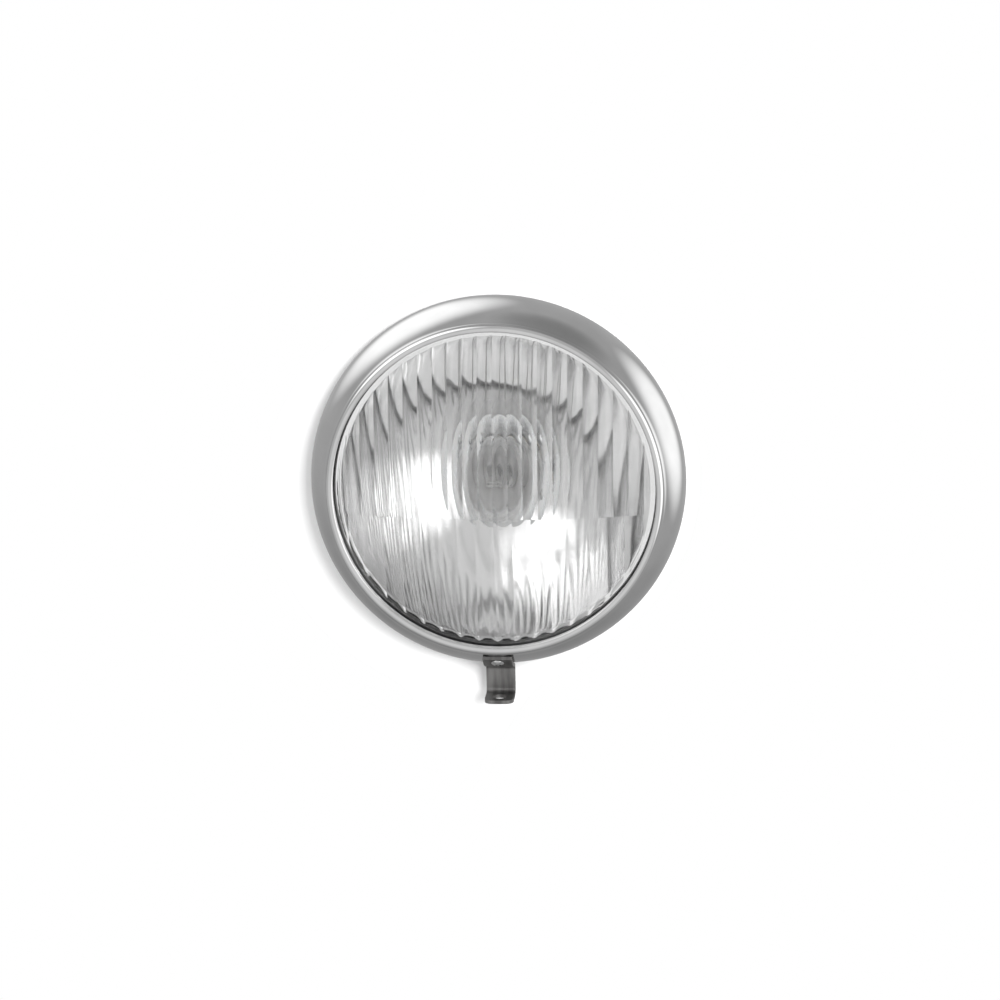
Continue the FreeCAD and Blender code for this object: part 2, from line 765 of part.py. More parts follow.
def make_contacts():
    pieces = []
    lead_start = carrier_back + size.shank_proud
    lead_end = terminal_front - size.terminal_head
    for number, sign in ((1, -1), (2, 1)):
        pieces.append(beside_axis("cap_contact_%d" % number, sign, [
            (insulator_back, 0),
            (insulator_back, size.contact_radius),
            (contact_back, 0, -dome_arc(size.contact_radius, size.contact_height)),
        ]))
        pieces.append(beside_axis("contact_pin_%d" % number, sign, [
            (contact_back, 0),
            (contact_back, size.contact_radius),
            (carrier_front, size.contact_radius),
            (carrier_front, size.shank_radius),
            (lead_start, size.shank_radius),
            (lead_start, 0),
        ]))
        pieces.append(beside_axis("contact_lead_%d" % number, sign, [
            (lead_start, 0),
            (lead_start, size.lead_radius),
            (lead_end, size.lead_radius),
            (lead_end, 0),
        ]))
    return pieces


def make_carrier_spring():
    # A coil of half rings, each tilted the other way, so that the wire runs on without a kink.
    half_turns = round(size.spring_turns.number * 2)
    rise = (size.spring_length - size.spring_wire * 2) / half_turns
    ring_radius = root(size.spring_radius * size.spring_radius + rise * rise / 4)
    tilt = math.degrees(math.asin(rise.number / 2 / ring_radius.number))
    coil_start = carrier_back + size.spring_wire
    halves = []
    for step in range(half_turns):
        half = document.addObject("Part::Torus", "spring_half_%d" % (step + 1))
        tie(half, Radius1=ring_radius, Radius2=size.spring_wire)
        tie(half, Placement__Base__y=coil_start + rise * (step + 0.5))
        half.Angle3 = 180
        lean = Rotation(Vector(0, 1, 0), tilt if step % 2 == 0 else -tilt)
        turn = Rotation(Vector(0, 0, 1), 180 * step)
        half.Placement.Rotation = along_lamp.multiply(lean.multiply(turn))
        halves.append(half)
    spring = document.addObject("Part::MultiFuse", "carrier_spring")
    spring.Shapes = halves
    spring.Refine = True
    spring.Label = "carrier_spring"
    return spring


def make_terminal_plate():
    plate = turned("terminal_plate", [
        (terminal_front, 0),
        (terminal_front, sleeve_inner - size.carrier_play),
        (terminal_back, sleeve_inner - size.carrier_play),
        (terminal_back, 0),
    ])
    half_high = size.terminal_neck / 2 + size.terminal_play
    half_wide = size.tab_wall / 2 + size.terminal_play
    for sign in (-1, 1):
        middle = size.contact_spacing * sign
        slot = new_sketch(plate, "terminal_slot_%s" % ("left" if sign < 0 else "right"), "XZ_Plane")
        draw_outline(slot, [
            (middle - half_wide, -half_high),
            (middle + half_wide, -half_high),
            (middle + half_wide, half_high),
            (middle - half_wide, half_high),
        ])
        cut_through(plate, slot, terminal_back * 3)
    return plate


def make_terminals():
    half_blade = size.tab_width / 2
    half_neck = size.terminal_neck / 2
    half_head = half_neck + size.terminal_head
    tip = terminal_back + size.terminal_length
    head_front = terminal_front - size.terminal_head
    terminals = []
    for number, sign in ((1, -1), (2, 1)):
        blade = extruded("terminal_%d" % number, "YZ_Plane", [
            (head_front, -half_head),
            (terminal_front, -half_head),
            (terminal_front, -half_neck),
            (terminal_back, -half_neck),
            (terminal_back, -half_blade),
            (tip - size.tab_wall, -half_blade),
            (tip, -half_blade + size.tab_wall),
            (tip, half_blade - size.tab_wall),
            (tip - size.tab_wall, half_blade),
            (terminal_back, half_blade),
            (terminal_back, half_neck),
            (terminal_front, half_neck),
            (terminal_front, half_head),
            (head_front, half_head),
        ], size.tab_wall)
        tie(blade, Placement__Base__x=size.contact_spacing * sign)
        terminals.append(blade)
    return terminals


def make_bulb_globe():
    # A tube of thin glass with a round front end and a tapered shoulder.
    inner_radius = size.globe_radius - size.globe_wall
    front = focus_place - size.globe_lead
    centre = front + size.globe_radius
    shoulder = cap_front - size.globe_shoulder
    taper = shoulder - size.globe_taper
    return turned("bulb_globe", [
        (front, 0),
        (centre, size.globe_radius, -size.globe_radius),
        (taper, size.globe_radius),
        (shoulder, size.globe_neck),
        (glass_end, size.globe_neck),
        (glass_end, neck_inside),
        (shoulder, neck_inside),
        (taper, inner_radius),
        (centre, inner_radius),
        (centre - inner_radius, 0, inner_radius),
    ])


def make_filament_stem():
    return turned("filament_stem", [
        (stem_tip, 0),
        (stem_tip, size.stem_radius),
        (glass_end - size.flare_wall * 3, size.stem_radius),
        (glass_end - size.flare_wall, neck_inside),
        (glass_end, neck_inside),
        (glass_end, 0),
    ])


def make_filaments():
    # Each filament hangs between two wires that stand on the stem's tip.
    pieces = []
    number = 1
    rows = (
        ("main_filament", size.main_spread, as_size(0), focus_place),
        ("dip_filament", size.dip_spread, size.dip_rise, focus_place - size.dip_lead),
    )
    for label, spread, rise, place in rows:
        wire_front = place - size.wire_radius * 2
        for sign in (-1, 1):
            wire = rod("support_wire_%d" % number, size.wire_radius, stem_tip - wire_front)
            wire.Placement.Rotation = along_lamp
            tie(wire, Placement__Base__x=spread * sign, Placement__Base__y=wire_front)
            tie(wire, Placement__Base__z=rise)
            pieces.append(wire)
            number += 1
        filament = rod(label, size.wire_radius, (spread - size.wire_radius) * 2)
        filament.Placement.Rotation = across_lamp
        tie(filament, Placement__Base__x=size.wire_radius - spread)
        tie(filament, Placement__Base__y=place, Placement__Base__z=rise)
        pieces.append(filament)
    return pieces


def make_bulb_cap():
    lip = cap_inner - size.cap_lip
    cap = turned("bulb_cap", [
        (cap_front, cap_inner),
        (cap_front, size.cap_radius),
        (cap_back, size.cap_radius),
        (cap_back, lip),
        (cap_back - size.cap_wall, lip),
        (cap_back - size.cap_wall, cap_inner),
    ])
    holes = new_sketch(cap, "pin_holes", "YZ_Plane")
    draw_circles(holes, [(pin_place, 0, size.pin_radius)])
    cut_through(cap, holes, size.cap_radius * 3)
    return cap


def make_cap_pins():
    pins = []
    for number, sign in ((1, -1), (2, 1)):
        pin = rod("cap_pin_%d" % number, size.pin_radius, size.cap_wall + size.pin_height)
        pin.Placement.Rotation = Rotation(Vector(0, 1, 0), 90 * sign)
        tie(pin, Placement__Base__x=cap_inner * sign, Placement__Base__y=pin_place)
        pins.append(pin)
    return group("cap_pins", pins)


def make_cap_filling():
    # Cement holds the glass neck in the cap, and a black insulator closes the cap's end.
    cement = turned("cap_cement", [
        (cap_front, size.globe_neck),
        (cap_front, cap_inner),
        (glass_end, cap_inner),
        (glass_end, size.globe_neck),
    ])
    lip = cap_inner - size.cap_lip
    shoulder = cap_back - size.cap_wall
    insulator = turned("cap_insulator", [
        (shoulder - size.insulator_length, 0),
        (shoulder - size.insulator_length, cap_inner),
        (shoulder, cap_inner),
        (shoulder, lip),
        (cap_back, lip),
        (insulator_back, lip - size.insulator_proud / 2),
        (insulator_back, 0),
    ])
    return [cement, insulator]


def round_band(radius, angle):
    # A point at an angle round the rim's band, at the bottom of the rim.
    return (-size.skirt_length - radius * sine(angle), -band_centre - radius * cosine(angle))


def make_bracket():
    # One bent strip: the foot follows the rim's band, the web hangs down and the flange comes forward.
    outer_bend = size.strip_bend + size.strip_wall
    bend_place, bend_height = round_band(foot_outer + size.strip_bend, size.back_angle)
    low_height = bend_height - size.web_length
    tip = bend_place + size.strip_bend - size.tongue_length
    blank = extruded("bracket_blank", "YZ_Plane", [
        round_band(foot_inner, front_angle),
        round_band(foot_inner, size.back_angle) + (foot_inner,),
        (bend_place + outer_bend, bend_height, -outer_bend),
        (bend_place + outer_bend, low_height),
        (bend_place, low_height - outer_bend, -outer_bend),
        (tip, low_height - outer_bend),
        (tip, low_height - size.strip_bend),
        (bend_place, low_height - size.strip_bend),
        (bend_place + size.strip_bend, low_height, size.strip_bend),
        (bend_place + size.strip_bend, bend_height),
        round_band(foot_outer, size.back_angle) + (size.strip_bend,),
        round_band(foot_outer, front_angle) + (-foot_outer,),
    ], size.strip_width)
    hole = new_sketch(blank, "screw_hole", "XY_Plane")
    tie(hole, AttachmentOffset__Base__z=low_height - size.strip_bend - size.strip_wall / 2)
    draw_circles(hole, [(0, tip + size.hole_setback, size.hole_radius)])
    pocket = cut_through(blank, hole, size.strip_wall * 2)
    corners = []
    for number, edge in enumerate(blank.Shape.Edges, start=1):
        upright = abs(edge.tangentAt(edge.FirstParameter).z) > 0.9
        if upright and math.isclose(edge.CenterOfMass.y, tip.number, abs_tol=1e-6):
            corners.append("Edge%d" % number)
    rounding = blank.newObject("PartDesign::Fillet", "tongue_corners")
    rounding.Base = (pocket, corners)
    tie(rounding, Radius=size.tongue_round)
    return boolean("Cut", "mounting_bracket", blank, stud_hole("foot_hole"))


def make_bracket_rivet():
    inside = band_inner - size.stud_play
    outside = foot_outer + size.stud_play
    rivet = turned("bracket_rivet", [
        (inside - size.closing_height, 0),
        (inside - size.closing_height, size.closing_head),
        (inside, size.closing_head),
        (inside, size.stud_radius),
        (outside, size.stud_radius),
        (outside, size.stud_head),
        (outside + size.stud_height, 0, -dome_arc(size.stud_head, size.stud_height)),
    ])
    tie(rivet, Placement__Base__y=-size.skirt_length, Placement__Base__z=-band_centre)
    rivet.Placement.Rotation = Rotation(Vector(1, 0, 0), -90 - stud_angle.number)
    return rivet


pieces = [make_rim(), make_lens(), make_lens_seal(), make_reflector()]
pieces += make_retaining_clips()
pieces += [make_bracket(), make_bracket_rivet()]
pieces += [make_holder_plate(), make_sleeve(), make_sleeve_rivets()]
pieces += make_holder_clips()
pieces += [make_contact_carrier(), make_carrier_spring(), make_terminal_plate()]
pieces += make_contacts() + make_terminals()
pieces += [make_bulb_globe(), make_bulb_cap(), make_cap_pins(), make_filament_stem()]
pieces += make_cap_filling() + make_filaments()
document.recompute()

for item in document.Objects:
    if "Invalid" in item.State or "Error" in item.State:
        raise RuntimeError("%s failed to recompute" % item.Label)
for piece in pieces:
    if piece.Shape.isNull() or not piece.Shape.isValid():
        raise RuntimeError("%s has no valid shape" % piece.Label)

os.makedirs("parts", exist_ok=True)
for piece in pieces:
    piece.Shape.exportStep(os.path.join("parts", piece.Label + ".step"))
    print(piece.Label, len(piece.Shape.Solids), round(piece.Shape.Volume, 2))
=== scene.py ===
import json
import math

import bmesh
import bpy
from mathutils import Matrix, Vector


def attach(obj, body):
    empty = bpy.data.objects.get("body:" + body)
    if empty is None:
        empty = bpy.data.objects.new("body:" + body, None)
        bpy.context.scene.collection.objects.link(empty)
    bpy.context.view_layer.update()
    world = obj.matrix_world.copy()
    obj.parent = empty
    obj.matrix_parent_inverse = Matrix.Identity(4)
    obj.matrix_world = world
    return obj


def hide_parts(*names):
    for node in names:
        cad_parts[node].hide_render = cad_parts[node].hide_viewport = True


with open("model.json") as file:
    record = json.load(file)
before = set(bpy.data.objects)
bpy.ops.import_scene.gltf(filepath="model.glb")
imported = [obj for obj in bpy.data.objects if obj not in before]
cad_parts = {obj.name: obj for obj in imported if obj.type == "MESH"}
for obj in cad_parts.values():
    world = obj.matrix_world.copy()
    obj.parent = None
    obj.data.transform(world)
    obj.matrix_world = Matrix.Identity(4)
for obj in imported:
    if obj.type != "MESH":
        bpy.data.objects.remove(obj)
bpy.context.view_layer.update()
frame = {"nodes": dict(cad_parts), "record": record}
scene = bpy.context.scene
mm = 0.001   # sizes below are in millimetres, the scene is in metres
print("frame loaded,", len(frame["nodes"]), "nodes")


# small helpers for node trees

def link(tree, value, socket):
    # a number or colour goes on the socket itself, another socket is wired to it
    if isinstance(value, bpy.types.NodeSocket):
        tree.links.new(value, socket)
    elif value is not None:
        socket.default_value = value


def calc(tree, operation, first, second=None, third=None):
    node = tree.nodes.new("ShaderNodeMath")
    node.operation = operation
    for value, socket in zip((first, second, third), node.inputs):
        link(tree, value, socket)
    return node.outputs[0]


def remap(tree, value, source, target, curve="LINEAR"):
    # carries one range of numbers over to another
    node = tree.nodes.new("ShaderNodeMapRange")
    node.interpolation_type = curve
    names = ("From Min", "From Max", "To Min", "To Max")
    for name, number in zip(names, (*source, *target)):
        node.inputs[name].default_value = number
    link(tree, value, node.inputs["Value"])
    return node.outputs["Result"]


def mixShaders(tree, share, one, other):
    # a share of 0 shows the one shader, a share of 1 the other
    node = tree.nodes.new("ShaderNodeMixShader")
    for value, socket in zip((share, one, other), node.inputs):
        link(tree, value, socket)
    return node.outputs[0]


def showShader(tree, shader):
    tree.links.new(shader, tree.nodes["Material Output"].inputs["Surface"])


# small helpers for meshes

def smoothByAngle(mesh, degrees):
    mesh.polygons.foreach_set("use_smooth", [True] * len(mesh.polygons))
    mesh.set_sharp_from_angle(angle=math.radians(degrees))


def closeMesh(mesh, gap=0.0001):
    shell = bmesh.new()
    shell.from_mesh(mesh)
    bmesh.ops.remove_doubles(shell, verts=shell.verts, dist=gap * mm)
    bmesh.ops.dissolve_degenerate(shell, dist=gap * mm, edges=shell.edges)
    bmesh.ops.recalc_face_normals(shell, faces=shell.faces)
    shell.to_mesh(mesh)
    shell.free()


def addPiece(name, mesh):
    piece = bpy.data.objects.new(name, mesh)
    scene.collection.objects.link(piece)
    return piece


def dress(piece, node, material):
    piece.data.materials.clear()
    piece.data.materials.append(material)
    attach(piece, "root")
    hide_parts(node)


# a half section is a list of (depth, radius) corners in millimetres, and a third number bends
# the line to that corner into an arc: above zero it turns left, below zero right
def arcBetween(start, end, bend, arcStep):
    start, end = Vector(start), Vector(end)
    along = end - start
    side = Vector((-along.y, along.x)).normalized()
    rise = math.sqrt(max(bend * bend - along.length_squared / 4, 0.0))
    centre = (start + end) / 2 + side * rise * math.copysign(1, bend)
    first = start - centre
    sweep = math.copysign(2 * math.asin(min(along.length / 2 / abs(bend), 1.0)), bend)
    count = max(2, math.ceil(abs(sweep) / math.radians(arcStep)))
    points = []
    for number in range(1, count + 1):
        turn = Matrix.Rotation(sweep * number / count, 2)
        points.append(centre + turn @ first)
    return points


def sectionPoints(corners, arcStep):
    points = [Vector(corners[0][:2])]
    for corner in corners[1:]:
        if len(corner) == 3:
            points += arcBetween(points[-1], corner[:2], corner[2], arcStep)
        else:
            points.append(Vector(corner))
    return points


def ringPoint(radius, depth, angle):
    return radius * math.cos(angle) * mm, depth * mm, radius * math.sin(angle) * mm


def lathe(name, points, segments):
    # turns the half section round the lamp axis, which is Y
    onAxis = 1e-6
    vertices, rings, faces = [], [], []
    for depth, radius in points:
        count = 1 if radius < onAxis else segments
        rings.append(range(len(vertices), len(vertices) + count))
        for number in range(count):
            angle = 2 * math.pi * number / segments
            vertices.append(ringPoint(radius if count > 1 else 0, depth, angle))
    pairs = list(zip(rings, rings[1:]))
    if len(rings[0]) > 1 and len(rings[-1]) > 1:
        pairs.append((rings[-1], rings[0]))
    for one, other in pairs:
        for number in range(segments):
            after = (number + 1) % segments
            if len(one) == 1:
                faces.append((one[0], other[number], other[after]))
            elif len(other) == 1:
                faces.append((one[number], other[0], one[after]))
            else:
                faces.append((one[number], other[number], other[after], one[after]))
    mesh = bpy.data.meshes.new(name)
    mesh.from_pydata(vertices, [], faces)
    closeMesh(mesh)
    return mesh


def turnedPiece(name, points, sizes):
    mesh = lathe(name, points, sizes["segments"])
    smoothByAngle(mesh, sizes["smooth"])
    return addPiece(name, mesh)


# finishes: all of them vary with a noise, and most of a noise lies in its middle range

grainLook = dict(detail=3, middle=(0.3, 0.7), toneStops=(0.35, 0.65), reliefFineness=4,
                 reliefHeight=0.1)


def grey(level):
    return level, level, level


def startMaterial(name):
    material = bpy.data.materials.new(name)
    material.use_nodes = True
    return material, material.node_tree, material.node_tree.nodes["Principled BSDF"]


def pattern(tree, scale, stretch=(1, 1, 1)):
    # noise in object space, stretched where the finish has a grain
    place = tree.nodes.new("ShaderNodeTexCoord")
    turn = tree.nodes.new("ShaderNodeMapping")
    turn.inputs["Scale"].default_value = stretch
    noise = tree.nodes.new("ShaderNodeTexNoise")
    noise.inputs["Scale"].default_value = scale
    noise.inputs["Detail"].default_value = grainLook["detail"]
    tree.links.new(place.outputs["Object"], turn.inputs["Vector"])
    tree.links.new(turn.outputs["Vector"], noise.inputs["Vector"])
    return noise.outputs["Fac"]


def twoTone(tree, value, look):
    ramp = tree.nodes.new("ShaderNodeValToRGB")
    tones = look["dark"], look["light"]
    for stop, position, tone in zip(ramp.color_ramp.elements, grainLook["toneStops"], tones):
        stop.position = position
        stop.color = (*tone, 1)
    tree.links.new(value, ramp.inputs["Fac"])
    return ramp.outputs["Color"]


def addRelief(tree, shader, value, strength):
    bump = tree.nodes.new("ShaderNodeBump")
    bump.inputs["Strength"].default_value = strength
    bump.inputs["Distance"].default_value = grainLook["reliefHeight"] * mm
    tree.links.new(value, bump.inputs["Height"])
    tree.links.new(bump.outputs["Normal"], shader.inputs["Normal"])


def makeFinish(name, look):
    material, tree, shader = startMaterial(name)
    stretch = look.get("stretch", (1, 1, 1))
    grain = pattern(tree, look["scale"], stretch)
    rough = remap(tree, grain, grainLook["middle"], look["rough"])
    link(tree, twoTone(tree, grain, look), shader.inputs["Base Color"])
    link(tree, rough, shader.inputs["Roughness"])
    shader.inputs["Metallic"].default_value = look.get("metal", 0)
    if "relief" in look:
        fine = pattern(tree, look["scale"] * grainLook["reliefFineness"], stretch)
        addRelief(tree, shader, fine, look["relief"])
    return material


def makeGlass(name, look):
    material, tree, shader = startMaterial(name)
    shader.inputs["Base Color"].default_value = (*look["tint"], 1)
    shader.inputs["Transmission Weight"].default_value = 1
    shader.inputs["IOR"].default_value = look["ior"]
    rough = remap(tree, pattern(tree, look["scale"]), grainLook["middle"], look["rough"])
    link(tree, rough, shader.inputs["Roughness"])
    return material


def depthInLamp(tree):
    place = tree.nodes.new("ShaderNodeTexCoord")
    apart = tree.nodes.new("ShaderNodeSeparateXYZ")
    tree.links.new(place.outputs["Object"], apart.inputs[0])
    return apart.outputs["Y"]


def milkShader(tree, look):
    # throws part of the light back and lets part of it through
    through = tree.nodes.new("ShaderNodeBsdfTranslucent")
    back = tree.nodes.new("ShaderNodeBsdfDiffuse")
    both = tree.nodes.new("ShaderNodeAddShader")
    for node, tone, socket in zip((through, back), look["milkTones"], both.inputs):
        node.inputs["Color"].default_value = (*tone, 1)
        tree.links.new(node.outputs[0], socket)
    return both.outputs[0]


def makeThinGlass(name, look):
    # a thin wall hardly bends light: it lets it straight through and mirrors a little
    material, tree, shader = startMaterial(name)
    tree.nodes.remove(shader)
    clear = tree.nodes.new("ShaderNodeBsdfTransparent")
    gloss = tree.nodes.new("ShaderNodeBsdfGlossy")
    edge = tree.nodes.new("ShaderNodeLayerWeight")
    clear.inputs["Color"].default_value = (*look["tint"], 1)
    rough = remap(tree, pattern(tree, look["scale"]), grainLook["middle"], look["rough"])
    link(tree, rough, gloss.inputs["Roughness"])
    # milky where the glass was melted down to its foot
    milkRange = [depth * mm for depth in look["milkDepth"]]
    milk = remap(tree, depthInLamp(tree), milkRange, (0, look["milk"]))
    body = mixShaders(tree, milk, clear.outputs[0], milkShader(tree, look))
    slant = calc(tree, "POWER", edge.outputs["Facing"], look["edgePower"])
    sheen = calc(tree, "MULTIPLY_ADD", slant, look["edgeSheen"], look["sheen"])
    showShader(tree, mixShaders(tree, sheen, body, gloss.outputs[0]))
    return material


finishLooks = {
    "rim_chrome": dict(dark=grey(0.55), light=grey(0.61), metal=1, scale=60, rough=(0.05, 0.11)),
    "mirror_coat": dict(dark=grey(0.82), light=grey(0.90), metal=1, scale=45, rough=(0.04, 0.10)),
    "seal_rubber": dict(dark=grey(0.15), light=grey(0.22), scale=500, rough=(0.55, 0.8),
                        relief=0.2),
    "spring_steel": dict(dark=(0.30, 0.30, 0.31), light=(0.46, 0.46, 0.47), metal=1, scale=260,
                         rough=(0.22, 0.42)),
    "dark_steel": dict(dark=(0.10, 0.098, 0.096), light=(0.23, 0.226, 0.222), metal=0.85,
                       scale=420, stretch=(1, 0.12, 0.12), rough=(0.30, 0.55), relief=0.12),
    "zinc_plate": dict(dark=(0.66, 0.67, 0.68), light=(0.80, 0.80, 0.79), metal=1, scale=220,
                       rough=(0.20, 0.42), relief=0.05),
    "brown_laminate": dict(dark=(0.11, 0.045, 0.018), light=(0.19, 0.085, 0.035), scale=700,
                           stretch=(0.15, 1, 1), rough=(0.35, 0.6), relief=0.1),
    "brass": dict(dark=(0.52, 0.34, 0.11), light=(0.72, 0.52, 0.22), metal=1, scale=240,
                  rough=(0.16, 0.38)),
    "solder": dict(dark=(0.42, 0.42, 0.41), light=(0.58, 0.58, 0.57), metal=1, scale=600,
                   rough=(0.3, 0.5), relief=0.1),
    "copper_lead": dict(dark=(0.55, 0.22, 0.11), light=(0.74, 0.36, 0.21), metal=1, scale=800,
                        rough=(0.25, 0.45)),
    "cap_cement": dict(dark=(0.62, 0.58, 0.51), light=(0.74, 0.70, 0.63), scale=900,
                       rough=(0.8, 0.95), relief=0.3),
    "black_glass": dict(dark=(0.010, 0.010, 0.014), light=(0.022, 0.022, 0.028), scale=300,
                        rough=(0.06, 0.16)),
    "filament_wire": dict(dark=(0.60, 0.60, 0.59), light=(0.72, 0.72, 0.71), metal=0.4, scale=900,
                          rough=(0.55, 0.75)),
}
lensLook = dict(tint=grey(0.99), ior=1.5, scale=35, rough=(0.0, 0.03))
bulbLook = dict(tint=grey(0.98), sheen=0.03, edgeSheen=0.6, edgePower=4.0, scale=60,
                rough=(0.0, 0.03), milk=0.85, milkDepth=(1.0, 9.0),
                milkTones=(grey(0.4), grey(0.6)))
finishes = {name: makeFinish(name, look) for name, look in finishLooks.items()}
finishes["lens_glass"] = makeGlass("lens_glass", lensLook)
finishes["bulb_glass"] = makeThinGlass("bulb_glass", bulbLook)
print("finishes made:", len(finishes))


# rim: one sheet with a convex band, a rolled bead and a folded back edge

rimSizes = dict(radius=61.0, wall=0.9, skirt=2.0, bandDrop=6.2, creaseDepth=17.5, lipWidth=2.8,
                lipProud=1.0, bead=2.1, seatRecess=1.1, foldWidth=3.6, foldBend=1.6,
                arcStep=2, segments=288, smooth=40)


def workOutRim(sizes):
    # the band is an arc tangent to the skirt, and the lens rests on the seat behind the bead
    run, drop = sizes["creaseDepth"] - sizes["skirt"], sizes["bandDrop"]
    bend = (run ** 2 + drop ** 2) / (2 * drop)
    crease = sizes["radius"] - drop
    seat = sizes["creaseDepth"] - sizes["seatRecess"]
    rise = math.sqrt((bend - sizes["wall"]) ** 2 - (seat - sizes["skirt"]) ** 2)
    return dict(sizes, bend=bend, crease=crease, lip=crease - sizes["lipWidth"], seat=seat,
                seatRadius=sizes["radius"] - bend + rise)


def makeRim(sizes):
    radius, wall, fold, skirt = sizes["radius"], sizes["wall"], sizes["foldBend"], sizes["skirt"]
    foldEnd, inner = radius - sizes["foldWidth"], radius - wall
    points = sectionPoints([
        (0, foldEnd),
        (0, radius - fold),
        (-fold, radius, fold),
        (-skirt, radius),
        (-sizes["creaseDepth"], sizes["crease"], sizes["bend"]),
        (-sizes["creaseDepth"] - sizes["lipProud"], sizes["lip"], sizes["bead"]),
        (-sizes["seat"], sizes["lip"]),
        (-sizes["seat"], sizes["seatRadius"]),
        (-skirt, inner, wall - sizes["bend"]),
        (-fold, inner),
        (-wall, radius - fold, wall - fold),
        (-wall, foldEnd),
    ], sizes["arcStep"])
    return turnedPiece("rimShell", points, sizes)


rimSizes = workOutRim(rimSizes)
dress(makeRim(rimSizes), "rim", finishes["rim_chrome"])
print("rim made")


# lens: a smooth blank, and Geometry Nodes press the flutes into its back

lensSizes = dict(edgeGap=0.5, edgeWall=3.4, domeGap=0.4, domeRadius=160.0, wall=3.6,
                 fieldBorder=3.3, fieldSlope=25.0, upperPitch=4.75, lowerPitch=5.9,
                 fluteDepth=0.38, stepHeight=-8.0, smooth=22)
# the blank's grid: how fine it is, and how it closes towards the sides
lensGrid = dict(radius=51.2, fluteColumns=7, upperRows=74, lowerRows=52, domeRings=28,
                evenShare=0.97, leastGap=0.12, endColumns=6, stepShare=0.8)


def workOutLens(sizes, rim):
    # the lens lies on the rim's seat, and its dome fits inside the lip
    radius, domeEdge = rim["seatRadius"] - sizes["edgeGap"], rim["lip"] - sizes["domeGap"]
    rise = math.sqrt(sizes["domeRadius"] ** 2 - domeEdge ** 2)
    return dict(sizes, radius=radius, seat=-rim["seat"], back=sizes["edgeWall"] - rim["seat"],
                fieldRadius=radius - sizes["fieldBorder"], domeEdge=domeEdge,
                domeCentre=rise - rim["seat"])


def lensColumns(sizes, grid):
    # every flute gets its own even columns, and the last few follow the circle
    radius, places = grid["radius"], set()
    for pitch in (sizes["upperPitch"], sizes["lowerPitch"]):
        step = pitch / grid["fluteColumns"]
        count = math.floor(radius / step)
        places.update(round(step * number, 4) for number in range(-count, count + 1))
    inner = sorted(place for place in places if abs(place) < radius * grid["evenShare"])
    kept = inner[:1]
    for place in inner[1:]:
        if place - kept[-1] > grid["leastGap"]:
            kept.append(place)
    endAngle, parts = math.acos(kept[-1] / radius), grid["endColumns"]
    ends = [radius * math.cos(endAngle * (1 - part / parts)) for part in range(1, parts)]
    return [-place for place in reversed(ends)] + kept + ends


def addPoint(blank, x, depth, z, upper=0, field=0):
    blank["points"].append((x * mm, depth * mm, z * mm))
    blank["upperHalf"].append(upper)
    blank["fluted"].append(field)
    return len(blank["points"]) - 1


def addColumn(blank, sizes, grid, x):
    # one column of the back, with two points where it meets the step line
    reach = math.sqrt(grid["radius"] ** 2 - x * x)
    step = max(sizes["stepHeight"], -grid["stepShare"] * reach)
    halves = (grid["lowerRows"], -reach, step, 0), (grid["upperRows"], step, reach, 1)
    column = []
    for rows, low, high, upper in halves:
        for row in range(rows + 1):
            z = low + (high - low) * row / rows
            column.append(addPoint(blank, x, sizes["back"], z, upper, 1))
    return column


def addBack(blank, sizes, grid):
    # columns of faces with a fan at each end, and the ring of points round them
    leftEnd = addPoint(blank, -grid["radius"], sizes["back"], 0, 1)
    rightEnd = addPoint(blank, grid["radius"], sizes["back"], 0, 1)
    columns = [addColumn(blank, sizes, grid, x) for x in lensColumns(sizes, grid)]
    for one, other in zip(columns, columns[1:]):
        for row in range(len(one) - 1):
            blank["faces"].append((one[row], other[row], other[row + 1], one[row + 1]))
    for end, column in ((leftEnd, columns[0]), (rightEnd, columns[-1])):
        for row in range(len(column) - 1):
            blank["faces"].append((end, column[row], column[row + 1]))
    lower = [column[0] for column in columns]
    upper = [column[-1] for column in reversed(columns)]
    return lower + [rightEnd] + upper + [leftEnd]


def addFront(blank, ring, sizes, grid):
    # border, edge and dome as rings on the same angles
    places = [blank["points"][point] for point in ring]
    angles = [math.atan2(z, x) for x, depth, z in places]
    rings = [(sizes["radius"], sizes["back"]), (sizes["radius"], sizes["seat"]),
             (sizes["domeEdge"], sizes["seat"])]
    for number in range(1, grid["domeRings"]):
        reach = sizes["domeEdge"] * (1 - number / grid["domeRings"])
        rise = math.sqrt(sizes["domeRadius"] ** 2 - reach ** 2)
        rings.append((reach, sizes["domeCentre"] - rise))
    for reach, depth in rings:
        outer = [addPoint(blank, reach * math.cos(angle), depth, reach * math.sin(angle))
                 for angle in angles]
        for number in range(len(ring)):
            after = (number + 1) % len(ring)
            blank["faces"].append((ring[number], ring[after], outer[after], outer[number]))
        ring = outer
    tip = addPoint(blank, 0, sizes["domeCentre"] - sizes["domeRadius"], 0)
    for number in range(len(ring)):
        blank["faces"].append((ring[number], ring[(number + 1) % len(ring)], tip))


def makeLensBlank(sizes, grid):
    blank = dict(points=[], faces=[], upperHalf=[], fluted=[])
    ring = addBack(blank, sizes, grid)
    addFront(blank, ring, sizes, grid)
    mesh = bpy.data.meshes.new("lensBlank")
    mesh.from_pydata(blank["points"], [], blank["faces"])
    for name in ("upperHalf", "fluted"):
        mark = mesh.attributes.new(name, "FLOAT", "POINT")
        mark.data.foreach_set("value", blank[name])
    return mesh


def readMark(tree, name):
    node = tree.nodes.new("GeometryNodeInputNamedAttribute")
    node.data_type = "FLOAT"
    node.inputs["Name"].default_value = name
    return node.outputs["Attribute"]


def square(tree, value):
    return calc(tree, "MULTIPLY", value, value)


